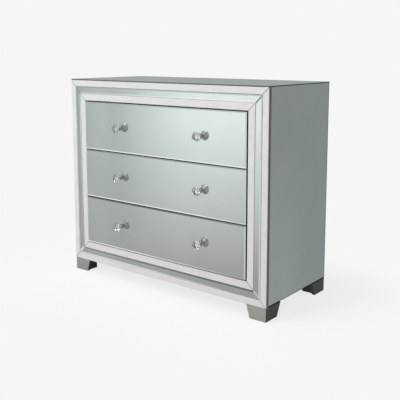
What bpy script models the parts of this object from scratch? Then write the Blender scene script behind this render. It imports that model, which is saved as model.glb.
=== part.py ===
"""A chest of three drawers, faced with sheet mirror inside a mitred silver frame.

Metres, +Z up. The front looks towards -Y, and left and right are as seen from the front. The
origin is on the floor, under the middle of the space that the whole chest takes up, knobs
included. Each drawer hangs from an empty on the line it slides along.
"""

import math

import bmesh
import bpy
from mathutils import Vector

# Overall size, over the mirrors and without the knobs
case_width = 0.954
case_depth = 0.412
case_height = 0.751
foot_height = 0.049

# Fits
seat_gap = 0.0003
running_gap = 0.0005
overrun = 0.002

# Sheet mirror
top_glass = 0.004
side_glass = 0.004
front_glass = 0.004
strip_glass = 0.004
arris_width = 0.0012
arris_drop = 0.0008
bevel_width = 0.0045
bevel_drop = 0.0018
side_mirror_lift = 0.005

# Frame moulding, from its outer edge to the drawers
outer_band = 0.025
strip_slot = 0.0285
inner_band = 0.027
strip_proud = 0.001
strip_margin = 0.001
outer_ease = 0.0025
lip_ease = 0.0015
ease_steps = 4

# Carcass boards
side_board = 0.015
top_board = 0.018
bottom_board = 0.015
back_board = 0.005
back_board_inset = 0.0015
runner_board = 0.015
runner_board_setback = 0.001
rail_board = 0.018
rail_depth = 0.060

# Runners, and the nose and lip that keep a drawer from falling out
runner_height = 0.014
runner_start = 0.030
groove_bite = 0.006
stop_height = 0.003
nose_length = 0.015
lip_length = 0.070

# Drawers
drawer_names = ("bottom", "middle", "top")
reveal = 0.0035
drawer_proud = 0.004
front_board = 0.012
front_clearance = 0.0027
side_inset = 0.004
side_lift = 0.012
drawer_side = 0.012
drawer_back = 0.012
drawer_bottom = 0.005
bottom_lift = 0.010
bottom_bite = 0.0045
box_clearance = 0.020
back_clearance = 0.018

# Knobs
knob_place_share = 0.5
knob_stem = 0.0115
flange_radius = 0.010
flange_height = 0.003
neck_radius = 0.0048
cup_radius = 0.0080
cup_height = 0.0035
screw_radius = 0.002
screw_head_radius = 0.0045
screw_head_height = 0.0028
knob_sides = 24
crystal_radius = 0.018
crystal_depth = 0.022
crystal_sides = 12
# Each ring of facet corners: share of the radius, share of the depth, share of a facet turned
crystal_ring_shares = (
    (0.40, 0.00, 0.0),
    (0.68, 0.27, 0.5),
    (0.96, 0.55, 0.0),
    (1.00, 0.64, 0.5),
    (0.83, 0.87, 0.0),
    (0.56, 1.00, 0.5),
)

# Feet
foot_inset = 0.0015
foot_board = 0.012
foot_front_top = 0.081
foot_front_bottom = 0.067
foot_side_top = 0.094
foot_side_bottom = 0.071
foot_block = 0.048
foot_ease = 0.0008

# Places that follow from the sizes
frame_width = outer_band + strip_slot + inner_band
knob_reach = knob_stem + seat_gap + crystal_depth
front_y = (drawer_proud + knob_reach - case_depth) / 2
back_y = (drawer_proud + knob_reach + case_depth) / 2
drawer_face = front_y - drawer_proud
case_top = foot_height + case_height
under_glass = case_top - top_glass - seat_gap
inside_glass = case_width / 2 - side_glass - seat_gap
inner_back = back_y - back_board - seat_gap
front_depth = front_glass + seat_gap + front_board
frame_depth = front_depth + front_clearance - drawer_proud
frame_back = front_y + frame_depth + seat_gap
mitre_gap = seat_gap / math.sqrt(2)

opening_half = case_width / 2 - frame_width
opening_bottom = foot_height + frame_width
opening_height = under_glass - frame_width - opening_bottom
drawer_pitch = (opening_height - reveal) / len(drawer_names)
front_half = opening_half - reveal
front_height = drawer_pitch - reveal

runner_board_inner = opening_half + runner_board_setback
bay_bottom = foot_height + bottom_board + seat_gap
bay_top = under_glass - top_board - seat_gap

# Places inside a drawer, from the middle of its front's lower edge, on the face of its mirror
side_outer = front_half - side_inset
side_inner = side_outer - drawer_side
side_top = front_height + reveal / 2 - rail_board / 2 - box_clearance
box_front = front_depth + seat_gap
box_rear = inner_back - drawer_face - back_clearance
runner_bottom = (side_lift + side_top - runner_height) / 2
runner_top = runner_bottom + runner_height
nose_top = runner_top + stop_height
runner_front = box_front + runner_start
panel_bottom = side_lift + bottom_lift
panel_top = panel_bottom + drawer_bottom

finishes = {
    # colour, roughness, metallic, transmission
    "mirror": ((0.60, 0.67, 0.66), 0.06, 1.0, 0.0),
    "silver_leaf": ((0.80, 0.80, 0.80), 0.38, 0.55, 0.0),
    "champagne": ((0.40, 0.39, 0.35), 0.34, 0.70, 0.0),
    "black_board": ((0.035, 0.037, 0.038), 0.55, 0.0, 0.0),
    "drawer_board": ((0.56, 0.54, 0.50), 0.60, 0.0, 0.0),
    "hardwood": ((0.55, 0.38, 0.22), 0.50, 0.0, 0.0),
    "chrome": ((0.80, 0.81, 0.82), 0.08, 1.0, 0.0),
    "crystal": ((0.97, 0.98, 0.98), 0.02, 0.0, 0.9),
}


def clear_scene():
    for obj in list(bpy.data.objects):
        bpy.data.objects.remove(obj, do_unlink=True)


def finish_material(piece_name, finish):
    """The piece's own material."""
    colour, roughness, metallic, transmission = finishes[finish]
    material = bpy.data.materials.new(f"{piece_name}_{finish}")
    material.use_nodes = True
    shader = material.node_tree.nodes["Principled BSDF"]
    shader.inputs["Base Color"].default_value = (*colour, 1)
    shader.inputs["Roughness"].default_value = roughness
    shader.inputs["Metallic"].default_value = metallic
    shader.inputs["Transmission Weight"].default_value = transmission
    material.diffuse_color = (*colour, 1)
    material.roughness = roughness
    material.metallic = metallic
    return material


def add_piece(name, bm, finish, place, turn=(0, 0, 0), parent=None):
    """Turns a closed bmesh into a named object, its faces pointing out."""
    bmesh.ops.recalc_face_normals(bm, faces=bm.faces)
    mesh = bpy.data.meshes.new(name)
    bm.to_mesh(mesh)
    bm.free()
    obj = bpy.data.objects.new(name, mesh)
    obj.location = place
    obj.rotation_euler = turn
    obj.parent = parent
    if finish:
        mesh.materials.append(finish_material(name, finish))
    bpy.context.scene.collection.objects.link(obj)
    return obj


def add_cutter(name, bm, place, turn=(0, 0, 0), parent=None):
    cutter = add_piece(name, bm, None, place, turn, parent)
    cutter.hide_render = True
    cutter.display_type = "WIRE"
    return cutter


def cut(obj, cutter):
    modifier = obj.modifiers.new(cutter.name, "BOOLEAN")
    modifier.operation = "DIFFERENCE"
    modifier.solver = "EXACT"
    modifier.object = cutter


def block_shape(low, high):
    """A block between two corners, around its own middle, and that middle."""
    low = Vector(low)
    high = Vector(high)
    bm = bmesh.new()
    bmesh.ops.create_cube(bm, size=1)
    bmesh.ops.scale(bm, vec=high - low, verts=bm.verts)
    return bm, (low + high) / 2


def board(name, low, high, finish, parent=None):
    bm, middle = block_shape(low, high)
    return add_piece(name, bm, finish, middle, parent=parent)


def prism_shape(outline, depth):
    """A flat outline in local XY, thickened from z = 0 down to -depth."""
    bm = bmesh.new()
    rim = [bm.verts.new((x, y, -depth)) for x, y in outline]
    base = bm.faces.new(rim)
    raised = bmesh.ops.extrude_face_region(bm, geom=[base])["geom"]
    bmesh.ops.translate(
        bm,
        vec=(0, 0, depth),
        verts=[item for item in raised if isinstance(item, bmesh.types.BMVert)],
    )
    return bm


def plate_shape(outline, thickness, edge_width, edge_drop):
    """A sheet of glass in local XY with its face at z = 0 and its face edges ground to a slope."""
    bm = prism_shape(outline, thickness - edge_drop)
    bmesh.ops.translate(bm, vec=(0, 0, -edge_drop), verts=bm.verts)
    bmesh.ops.recalc_face_normals(bm, faces=bm.faces)
    bm.faces.ensure_lookup_table()
    face = max(bm.faces, key=lambda item: item.calc_center_median().z)
    bmesh.ops.inset_region(
        bm, faces=[face], thickness=edge_width, depth=edge_drop, use_even_offset=True
    )
    return bm


def rectangle(half_width, low, high):
    return [(-half_width, low), (half_width, low), (half_width, high), (-half_width, high)]


def ring_shape(rings, sides):
    """A solid around local +Z from rings of (radius, height, share of a side that it is turned)."""
    bm = bmesh.new()
    loops = []
    for radius, height, turn_share in rings:
        loop = []
        for step in range(sides):
            angle = 2 * math.pi * (step + turn_share) / sides
            loop.append(bm.verts.new((radius * math.cos(angle), radius * math.sin(angle), height)))
        loops.append((loop, turn_share))
    bm.faces.new(loops[0][0])
    bm.faces.new(loops[-1][0])
    for (lower, lower_turn), (upper, upper_turn) in zip(loops, loops[1:]):
        for step in range(sides):
            after = (step + 1) % sides
            if lower_turn == upper_turn:
                bm.faces.new((lower[step], lower[after], upper[after], upper[step]))
            elif lower_turn < upper_turn:
                bm.faces.new((lower[step], lower[after], upper[step]))
                bm.faces.new((lower[after], upper[after], upper[step]))
            else:
                bm.faces.new((upper[step], upper[after], lower[step]))
                bm.faces.new((upper[after], lower[after], lower[step]))
    return bm


# Turns that bring local +Z, the face of a sheet or moulding, to each side of the chest
facing_front = (math.pi / 2, 0, 0)
facing_right = (math.pi / 2, 0, math.pi / 2)
facing_left = (math.pi / 2, 0, -math.pi / 2)
facing_up = (0, 0, 0)


def build_carcass():
    side_low = inside_glass - side_board
    for side, name in ((-1, "left"), (1, "right")):
        edges = sorted((side * side_low, side * inside_glass))
        board(
            f"{name}_side_panel",
            (edges[0], frame_back, foot_height),
            (edges[1], inner_back, bay_top),
            "black_board",
        )
        edges = sorted((side * runner_board_inner, side * (runner_board_inner + runner_board)))
        board(
            f"{name}_runner_board",
            (edges[0], frame_back, bay_bottom),
            (edges[1], inner_back, bay_top),
            "drawer_board",
        )
    board(
        "top_panel",
        (-inside_glass, frame_back, bay_top + seat_gap),
        (inside_glass, inner_back, under_glass),
        "black_board",
    )
    floor_half = side_low - seat_gap
    board(
        "bottom_panel",
        (-floor_half, frame_back, foot_height),
        (floor_half, inner_back, bay_bottom - seat_gap),
        "black_board",
    )
    back_half = case_width / 2 - back_board_inset
    board(
        "back_panel",
        (-back_half, back_y - back_board, foot_height),
        (back_half, back_y, under_glass),
        "black_board",
    )
    rail_half = runner_board_inner - seat_gap
    for number, name in enumerate(("lower", "upper"), start=1):
        middle = opening_bottom + reveal / 2 + number * drawer_pitch
        board(
            f"{name}_divider_rail",
            (-rail_half, frame_back, middle - rail_board / 2),
            (rail_half, frame_back + rail_depth, middle + rail_board / 2),
            "drawer_board",
        )


def build_sheet_mirrors():
    half_depth = case_depth / 2
    top = plate_shape(
        rectangle(case_width / 2, -half_depth, half_depth), top_glass, arris_width, arris_drop
    )
    add_piece("top_mirror", top, "mirror", (0, front_y + half_depth, case_top), facing_up)
    half_run = (inner_back - frame_back) / 2
    side_y = frame_back + half_run
    outline = rectangle(half_run, foot_height + side_mirror_lift, under_glass)
    for side, name, turn in ((-1, "left", facing_left), (1, "right", facing_right)):
        sheet = plate_shape(outline, side_glass, arris_width, arris_drop)
        add_piece(
            f"{name}_side_mirror", sheet, "mirror", (side * case_width / 2, side_y, 0), turn
        )


def eased_edge(edge, inward, ease):
    """Points round an edge of the face, from its side up to the face that lies inward of it."""
    points = []
    for step in range(ease_steps + 1):
        angle = math.pi / 2 * step / ease_steps
        run = edge + inward * ease * (1 - math.cos(angle))
        points.append((run, ease * (1 - math.sin(angle))))
    return points


def moulding_profile():
    """The moulding's section as (distance in from the outer edge, depth behind the face)."""
    slot_end = outer_band + strip_slot
    slot_depth = strip_glass - strip_proud + seat_gap
    return [
        (0, frame_depth),
        *eased_edge(0, 1, outer_ease),
        *reversed(eased_edge(outer_band, -1, lip_ease)),
        (outer_band, slot_depth),
        (slot_end, slot_depth),
        *eased_edge(slot_end, 1, lip_ease),
        *reversed(eased_edge(frame_width, -1, lip_ease)),
        (frame_width, frame_depth),
    ]


def moulding_shape(half_run):
    """One mitred length: run along local X, width in along +Y, face at z = 0."""
    bm = bmesh.new()
    ends = []
    for side in (-1, 1):
        ends.append(
            [
                bm.verts.new((side * (half_run - inward - mitre_gap), inward, -depth))
                for inward, depth in moulding_profile()
            ]
        )
    for end in ends:
        bm.faces.new(end)
    count = len(ends[0])
    for step in range(count):
        after = (step + 1) % count
        bm.faces.new((ends[0][step], ends[0][after], ends[1][after], ends[1][step]))
    return bm


def build_frame():
    """Four mitred mouldings, and the bevelled mirror strip let into each."""
    frame_middle = (foot_height + under_glass) / 2
    half_height = (under_glass - foot_height) / 2
    half_width = case_width / 2
    members = (
        ("bottom_rail", 0, half_width, (0, foot_height)),
        ("right_stile", 1, half_height, (half_width, frame_middle)),
        ("top_rail", 2, half_width, (0, under_glass)),
        ("left_stile", 3, half_height, (-half_width, frame_middle)),
    )
    strip_outer = outer_band + strip_margin
    strip_inner = outer_band + strip_slot - strip_margin
    for name, quarter_turns, half_run, (x, z) in members:
        turn = (math.pi / 2, -quarter_turns * math.pi / 2, 0)
        add_piece(
            f"frame_{name}", moulding_shape(half_run), "silver_leaf", (x, front_y, z), turn
        )
        long_half = half_run - strip_outer - mitre_gap
        short_half = half_run - strip_inner - mitre_gap
        outline = [
            (-long_half, strip_outer),
            (long_half, strip_outer),
            (short_half, strip_inner),
            (-short_half, strip_inner),
        ]
        strip = plate_shape(outline, strip_glass, bevel_width, bevel_drop)
        add_piece(
            f"{name}_mirror_strip", strip, "mirror", (x, front_y - strip_proud, z), turn
        )


def foot_shape():
    """A bracket foot with its outer corner at local 0, 0: two mitred boards and a square block."""
    block_end = foot_board + foot_block
    bm = bmesh.new()
    loops = []
    for front, side, height in (
        (foot_front_bottom, foot_side_bottom, 0),
        (foot_front_top, foot_side_top, foot_height - seat_gap),
    ):
        plan = (
            (0, 0),
            (front, 0),
            (front, foot_board),
            (block_end, foot_board),
            (block_end, block_end),
            (foot_board, block_end),
            (foot_board, side),
            (0, side),
        )
        loops.append([bm.verts.new((x, y, height)) for x, y in plan])
    for loop in loops:
        bm.faces.new(loop)
    count = len(loops[0])
    for step in range(count):
        after = (step + 1) % count
        bm.faces.new((loops[0][step], loops[0][after], loops[1][after], loops[1][step]))
    return bm


def build_feet():
    corner_x = case_width / 2 - foot_inset
    corners = (
        ("front_left_foot", -corner_x, front_y + foot_inset, 1, 1),
        ("front_right_foot", corner_x, front_y + foot_inset, -1, 1),
        ("rear_left_foot", -corner_x, back_y - foot_inset, 1, -1),
        ("rear_right_foot", corner_x, back_y - foot_inset, -1, -1),
    )
    for name, x, y, along_x, along_y in corners:
        bm = foot_shape()
        bmesh.ops.scale(bm, vec=(along_x, along_y, 1), verts=bm.verts)
        foot = add_piece(name, bm, "champagne", (x, y, 0))
        ease = foot.modifiers.new("eased_edges", "BEVEL")
        ease.width = foot_ease
        ease.segments = 1
        ease.limit_method = "ANGLE"


def runner_outline():
    """Side view of a runner as (y, z): a strip with a raised nose at its front end."""
    runner_rear = inner_back - drawer_face
    return [
        (runner_front, runner_bottom),
        (runner_rear, runner_bottom),
        (runner_rear, runner_top),
        (runner_front + nose_length, runner_top),
        (runner_front + nose_length, nose_top),
        (runner_front, nose_top),
    ]


def groove_outline():
    """Side view of the groove in a drawer's side, open behind, with a lip over its rear end."""
    groove_rear = box_rear + overrun
    lip_front = box_rear - lip_length
    return [
        (runner_front - seat_gap, runner_bottom - running_gap),
        (groove_rear, runner_bottom - running_gap),
        (groove_rear, runner_top + seat_gap),
        (lip_front, runner_top + seat_gap),
        (lip_front, nose_top + seat_gap),
        (runner_front - seat_gap, nose_top + seat_gap),
    ]


def sideways_prism(outline, low_x, high_x):
    """An outline in (y, z), thickened along X from low_x to high_x."""
    bm = bmesh.new()
    near = [bm.verts.new((low_x, y, z)) for y, z in outline]
    far = [bm.verts.new((high_x, y, z)) for y, z in outline]
    bm.faces.new(near)
    bm.faces.new(far)
    count = len(outline)
    for step in range(count):
        after = (step + 1) % count
        bm.faces.new((near[step], near[after], far[after], far[step]))
    return bm


def drawer_place(number):
    return Vector((0, drawer_face, opening_bottom + reveal + number * drawer_pitch))


def build_runners():
    runner_inner = side_outer - groove_bite
    runner_outer = runner_board_inner - seat_gap
    for number, drawer in enumerate(drawer_names):
        for side, name in ((-1, "left"), (1, "right")):
            edges = sorted((side * runner_inner, side * runner_outer))
            bm = sideways_prism(runner_outline(), *edges)
            add_piece(f"{drawer}_{name}_runner", bm, "hardwood", drawer_place(number))


def knob_base_rings():
    """Fixing screw, flange, waisted neck and cup as rings, heights in front of the mirror."""
    board_back = -(front_depth + seat_gap)
    head_end = board_back - screw_head_height
    slope = flange_height / 2
    neck = (flange_height + knob_stem - cup_height) / 2
    cup_foot = knob_stem - cup_height
    waist = (neck_radius + cup_radius) / 2
    rim = cup_height / 2
    return [
        (screw_head_radius - screw_radius / 2, head_end, 0),
        (screw_head_radius, head_end + screw_head_height / 2, 0),
        (screw_head_radius, board_back, 0),
        (screw_radius, board_back, 0),
        (screw_radius, seat_gap, 0),
        (flange_radius, seat_gap, 0),
        (flange_radius, slope, 0),
        (flange_radius - slope, flange_height, 0),
        (waist, flange_height + seat_gap, 0),
        (neck_radius, neck, 0),
        (waist, cup_foot, 0),
        (cup_radius, knob_stem - rim, 0),
        (cup_radius, knob_stem, 0),
    ]


def build_knob(name, x, z, drawer):
    """A chrome base screwed through the drawer's front, and the cut crystal that it carries."""
    base = add_piece(
        f"{name}_base",
        ring_shape(knob_base_rings(), knob_sides),
        "chrome",
        (x, 0, z),
        facing_front,
        drawer,
    )
    base.data.shade_smooth()
    base.data.set_sharp_from_angle(angle=math.radians(35))
    crystal_start = knob_stem + seat_gap
    rings = [
        (crystal_radius * radius, crystal_start + crystal_depth * height, turned)
        for radius, height, turned in crystal_ring_shares
    ]
    crystal = ring_shape(rings, crystal_sides)
    add_piece(f"{name}_crystal", crystal, "crystal", (x, 0, z), facing_front, drawer)


def knob_hole_cutter(name, x, z, drawer):
    hole = screw_radius + running_gap
    rings = ((hole, overrun, 0), (hole, -front_depth - overrun, 0))
    return add_cutter(name, ring_shape(rings, knob_sides), (x, 0, z), facing_front, drawer)


def build_drawer(number, drawer_name):
    drawer = bpy.data.objects.new(f"{drawer_name}_drawer", None)
    drawer.location = drawer_place(number)
    bpy.context.scene.collection.objects.link(drawer)
    prefix = f"{drawer_name}_drawer"

    mirror_sheet = plate_shape(
        rectangle(front_half, 0, front_height), front_glass, bevel_width, bevel_drop
    )
    mirror = add_piece(
        f"{prefix}_mirror", mirror_sheet, "mirror", (0, 0, 0), facing_front, drawer
    )
    front = board(
        f"{prefix}_front_board",
        (-front_half, front_glass + seat_gap, 0),
        (front_half, front_depth, front_height),
        "black_board",
        drawer,
    )

    knob_x = knob_place_share * opening_half
    knob_z = front_height / 2
    for side, name in ((-1, "left"), (1, "right")):
        hole = knob_hole_cutter(f"{prefix}_{name}_hole", side * knob_x, knob_z, drawer)
        cut(mirror, hole)
        cut(front, hole)
        build_knob(f"{prefix}_{name}_knob", side * knob_x, knob_z, drawer)

    panel_half = side_inner + bottom_bite
    panel_front = front_depth - bottom_bite
    board(
        f"{prefix}_bottom",
        (-panel_half, panel_front, panel_bottom),
        (panel_half, box_rear, panel_top),
        "drawer_board",
        drawer,
    )
    slot_shape, slot_middle = block_shape(
        (-panel_half - seat_gap, panel_front - seat_gap, panel_bottom - seat_gap),
        (panel_half + seat_gap, box_rear + overrun, panel_top + seat_gap),
    )
    slot = add_cutter(f"{prefix}_bottom_slot", slot_shape, slot_middle, parent=drawer)
    cut(front, slot)

    for side, name in ((-1, "left"), (1, "right")):
        edges = sorted((side * side_inner, side * side_outer))
        side_piece = board(
            f"{prefix}_{name}_side",
            (edges[0], box_front, side_lift),
            (edges[1], box_rear, side_top),
            "drawer_board",
            drawer,
        )
        groove_floor = side_outer - groove_bite - running_gap
        edges = sorted((side * groove_floor, side * (side_outer + overrun)))
        groove = add_cutter(
            f"{prefix}_{name}_groove",
            sideways_prism(groove_outline(), *edges),
            (0, 0, 0),
            parent=drawer,
        )
        cut(side_piece, groove)
        cut(side_piece, slot)
    back_half = side_inner - seat_gap
    board(
        f"{prefix}_back",
        (-back_half, box_rear - drawer_back, panel_top + seat_gap),
        (back_half, box_rear, side_top),
        "drawer_board",
        drawer,
    )


clear_scene()
build_carcass()
build_sheet_mirrors()
build_frame()
build_feet()
build_runners()
for drawer_number, drawer_title in enumerate(drawer_names):
    build_drawer(drawer_number, drawer_title)
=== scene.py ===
"""A mirrored chest of drawers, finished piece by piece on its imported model.

Metres, +Z up. The front looks towards -Y, and left and right are as seen from the front.
"""

import math

import bmesh
import bpy
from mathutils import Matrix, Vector


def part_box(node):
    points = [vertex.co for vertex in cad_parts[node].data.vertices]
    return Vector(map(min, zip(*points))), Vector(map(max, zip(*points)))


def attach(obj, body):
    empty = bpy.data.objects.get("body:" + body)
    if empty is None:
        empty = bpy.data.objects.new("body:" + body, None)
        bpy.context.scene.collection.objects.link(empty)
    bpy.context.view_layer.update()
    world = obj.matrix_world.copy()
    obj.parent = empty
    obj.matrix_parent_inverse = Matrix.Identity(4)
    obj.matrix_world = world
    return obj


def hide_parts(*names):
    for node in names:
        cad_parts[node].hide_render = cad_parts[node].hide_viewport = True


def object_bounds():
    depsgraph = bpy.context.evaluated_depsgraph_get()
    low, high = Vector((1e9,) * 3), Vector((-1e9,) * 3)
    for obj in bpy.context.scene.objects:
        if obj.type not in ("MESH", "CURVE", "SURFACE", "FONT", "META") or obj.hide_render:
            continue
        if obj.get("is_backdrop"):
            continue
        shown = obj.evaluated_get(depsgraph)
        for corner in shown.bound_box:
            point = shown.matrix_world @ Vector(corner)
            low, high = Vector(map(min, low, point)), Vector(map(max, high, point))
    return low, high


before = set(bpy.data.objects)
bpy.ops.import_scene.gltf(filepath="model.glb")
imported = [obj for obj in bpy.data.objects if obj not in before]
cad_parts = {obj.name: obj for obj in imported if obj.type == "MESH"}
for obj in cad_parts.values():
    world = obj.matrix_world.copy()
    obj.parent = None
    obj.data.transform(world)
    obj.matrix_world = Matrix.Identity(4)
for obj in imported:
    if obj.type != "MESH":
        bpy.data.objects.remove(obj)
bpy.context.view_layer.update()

# Carcass boards. The case is a box of fibreboard panels, glued and dowelled edge to edge and
# sprayed matt black, with every sawn edge lightly sanded over.
saw_ease = 0.0006
rounding_steps = 2
sharp_edge = math.radians(40)
smooth_below = math.radians(32)
noise_peak = 0.7
dust_slope = (0.55, 0.95)
dust_grey = (0.36, 0.35, 0.33)
paint_black = (0.020, 0.021, 0.022)
paint_scuff = (0.032, 0.033, 0.034)
paint_roughness = (0.50, 0.66)
peel_depth = 0.00008


def select_only(*pieces):
    bpy.ops.object.select_all(action="DESELECT")
    for piece in pieces:
        piece.select_set(True)
    bpy.context.view_layer.objects.active = pieces[0]


def named_piece(name):
    """Names the piece that was just added, and puts its place in its mesh."""
    piece = bpy.context.object
    piece.name = name
    bpy.ops.object.transform_apply(location=True, rotation=True, scale=True)
    return piece


def new_block(name, low, high):
    """A block between two corners."""
    low = Vector(low)
    high = Vector(high)
    bpy.ops.object.select_all(action="DESELECT")
    bpy.ops.mesh.primitive_cube_add(size=1, location=(low + high) / 2, scale=high - low)
    return named_piece(name)


def apply_modifiers(piece):
    select_only(piece)
    for modifier in list(piece.modifiers):
        bpy.ops.object.modifier_apply(modifier=modifier.name)


def shade_rounded(piece):
    """Shades rounded edges smooth, and keeps the flat faces between them flat."""
    select_only(piece)
    bpy.ops.object.shade_smooth_by_angle(angle=smooth_below)
    weighting = piece.modifiers.new("weighted", "WEIGHTED_NORMAL")
    weighting.keep_sharp = True
    apply_modifiers(piece)


def round_edges(piece, width, steps):
    """Bevels the piece's sharp edges."""
    bevel = piece.modifiers.new("eased", "BEVEL")
    bevel.width = width
    bevel.segments = steps
    bevel.limit_method = "ANGLE"
    bevel.angle_limit = sharp_edge
    apply_modifiers(piece)


def ease_edges(piece, width, steps=rounding_steps):
    """Takes the sharpness off a piece's edges."""
    round_edges(piece, width, steps)
    shade_rounded(piece)


def finish_with(piece, *finishes):
    """Gives a piece its materials, the first of them all over it."""
    piece.data.materials.clear()
    for finish in finishes:
        piece.data.materials.append(finish)


def board_in_place(name, node, ease, finish):
    """A board of one finish that fills a node's box, its edges eased."""
    board = new_block(name, *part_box(node))
    ease_edges(board, ease)
    finish_with(board, finish)
    return board


def put_on(piece, body, slot, *nodes):
    """The piece rides on a body and stands for its nodes. Its slot is not used."""
    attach(piece, body)
    if nodes:
        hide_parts(*nodes)


def add_node(tree, kind, inputs=(), **settings):
    """A shader node whose inputs are values, or the sockets that feed them."""
    node = tree.nodes.new(kind)
    for name, value in settings.items():
        setattr(node, name, value)
    for name, value in dict(inputs).items():
        if isinstance(value, bpy.types.NodeSocket):
            tree.links.new(value, node.inputs[name])
        else:
            node.inputs[name].default_value = value
    return node


def arithmetic(tree, operation, first, second):
    node = add_node(tree, "ShaderNodeMath", {0: first, 1: second}, operation=operation)
    return node.outputs["Value"]


def ramp(tree, value, start, end, kind="LINEAR"):
    """A mask that is 0 up to where the value starts, and 1 from where it ends."""
    limits = {"Value": value, "From Min": start, "From Max": end}
    return add_node(tree, "ShaderNodeMapRange", limits, interpolation_type=kind).outputs["Result"]


def between(tree, mask, low, high):
    """A number that goes from low to high as a mask goes from 0 to 1."""
    limits = {"Value": mask, "To Min": low, "To Max": high}
    return add_node(tree, "ShaderNodeMapRange", limits).outputs["Result"]


def mixed_colour(tree, share, first, second):
    """A colour between two, by share. Each is a colour or the socket that feeds one."""
    node = add_node(tree, "ShaderNodeMix", {"Factor": share}, data_type="RGBA")
    ends = [socket for socket in node.inputs if socket.type == "RGBA"]
    for end, colour in zip(ends, (first, second)):
        if isinstance(colour, bpy.types.NodeSocket):
            tree.links.new(colour, end)
        else:
            end.default_value = (*colour, 1)
    return next(socket for socket in node.outputs if socket.type == "RGBA")


def new_group(name, inputs, output):
    """A shader node group with named inputs and one output, and its two ends."""
    group = bpy.data.node_groups.new(name, "ShaderNodeTree")
    for socket_name, kind in inputs.items():
        group.interface.new_socket(socket_name, in_out="INPUT", socket_type=kind)
    group.interface.new_socket(output, in_out="OUTPUT", socket_type="NodeSocketFloat")
    entry = group.nodes.new("NodeGroupInput")
    outlet = group.nodes.new("NodeGroupOutput")
    return group, entry, outlet


def placed(tree, group, **inputs):
    """Places a node group with its values and returns what it puts out."""
    node = tree.nodes.new("ShaderNodeGroup")
    node.node_tree = group
    for name, value in inputs.items():
        node.inputs[name].default_value = value
    return node.outputs[0]


def object_place(tree):
    """Where each point of a piece lies, which its patterns follow."""
    return tree.nodes.new("ShaderNodeTexCoord").outputs["Object"]


def mottle_group():
    """Cloudy patches, where a coat lies thicker or where hands and cloths have been."""
    group, entry, outlet = new_group(
        "mottle", {"Size": "NodeSocketFloat", "Cover": "NodeSocketFloat"}, "Patches"
    )
    place = object_place(group)
    fineness = arithmetic(group, "DIVIDE", 1.0, entry.outputs["Size"])
    noise = add_node(
        group,
        "ShaderNodeTexNoise",
        {"Vector": place, "Scale": fineness, "Detail": 3.0, "Roughness": 0.5},
    )
    threshold = arithmetic(group, "SUBTRACT", noise_peak, entry.outputs["Cover"])
    patches = ramp(group, noise.outputs["Fac"], threshold, noise_peak)
    group.links.new(patches, outlet.inputs["Patches"])
    return group


def dust_group():
    """Thin dust that lies in uneven patches on what faces up."""
    group, entry, outlet = new_group("dust", {"Amount": "NodeSocketFloat"}, "Dust")
    facing = group.nodes.new("ShaderNodeNewGeometry").outputs["Normal"]
    upward = add_node(group, "ShaderNodeSeparateXYZ", {"Vector": facing}).outputs["Z"]
    lying = ramp(group, upward, *dust_slope)
    settled = arithmetic(group, "MULTIPLY", lying, placed(group, mottle, Size=0.035, Cover=0.42))
    amount = arithmetic(group, "MULTIPLY", settled, entry.outputs["Amount"])
    group.links.new(amount, outlet.inputs["Dust"])
    return group


mottle = mottle_group()
dust = dust_group()


def new_material(name, colour, metallic=0.0):
    """A material, its node tree and its shader."""
    material = bpy.data.materials.new(name)
    material.use_nodes = True
    material.diffuse_color = (*colour, 1)
    shader = material.node_tree.nodes["Principled BSDF"]
    shader.inputs["Base Color"].default_value = (*colour, 1)
    shader.inputs["Metallic"].default_value = metallic
    return material, material.node_tree, shader


def coat(tree, shader, colour, mask, roughness):
    """Feeds a shader its colour, and a roughness between two limits that follows a mask."""
    tree.links.new(colour, shader.inputs["Base Color"])
    tree.links.new(between(tree, mask, *roughness), shader.inputs["Roughness"])


def raise_surface(tree, shader, height, depth):
    """Small relief of a given depth."""
    bump = add_node(tree, "ShaderNodeBump", {"Height": height, "Distance": depth})
    tree.links.new(bump.outputs["Normal"], shader.inputs["Normal"])


def dusted(tree, colour, amount):
    return mixed_colour(tree, placed(tree, dust, Amount=amount), colour, dust_grey)


def black_paint():
    """Matt black spray over sanded fibreboard: a fine orange peel, scuffs and a little dust."""
    material, tree, shader = new_material("black_paint", paint_black)
    peel = placed(tree, mottle, Size=0.0016, Cover=0.45)
    scuffs = placed(tree, mottle, Size=0.05, Cover=0.22)
    scuffed = mixed_colour(tree, scuffs, paint_black, paint_scuff)
    coat(tree, shader, dusted(tree, scuffed, amount=0.06), scuffs, paint_roughness)
    raise_surface(tree, shader, peel, peel_depth)
    return material


black = black_paint()

for node in ("left_side_panel", "right_side_panel", "top_panel", "bottom_panel"):
    panel = board_in_place(f"{node}_board", node, saw_ease, black)
    put_on(panel, "carcass", "black_board", node)


# Runner boards and divider rails. Behind the stiles a second board stands inside each side
# panel to carry the runners, and two rails tie the pair together; all are pale melamine board.
noise_trough = 0.3
foil_pale = (0.57, 0.55, 0.51)
foil_streak = (0.49, 0.47, 0.43)
foil_roughness = (0.58, 0.44)
foil_emboss = 0.00006
foil_waves = (9, 700)
foil_ease = 0.0008


def vector_step(tree, operation, *inputs):
    node = add_node(tree, "ShaderNodeVectorMath", dict(enumerate(inputs)), operation=operation)
    return node.outputs


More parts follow.
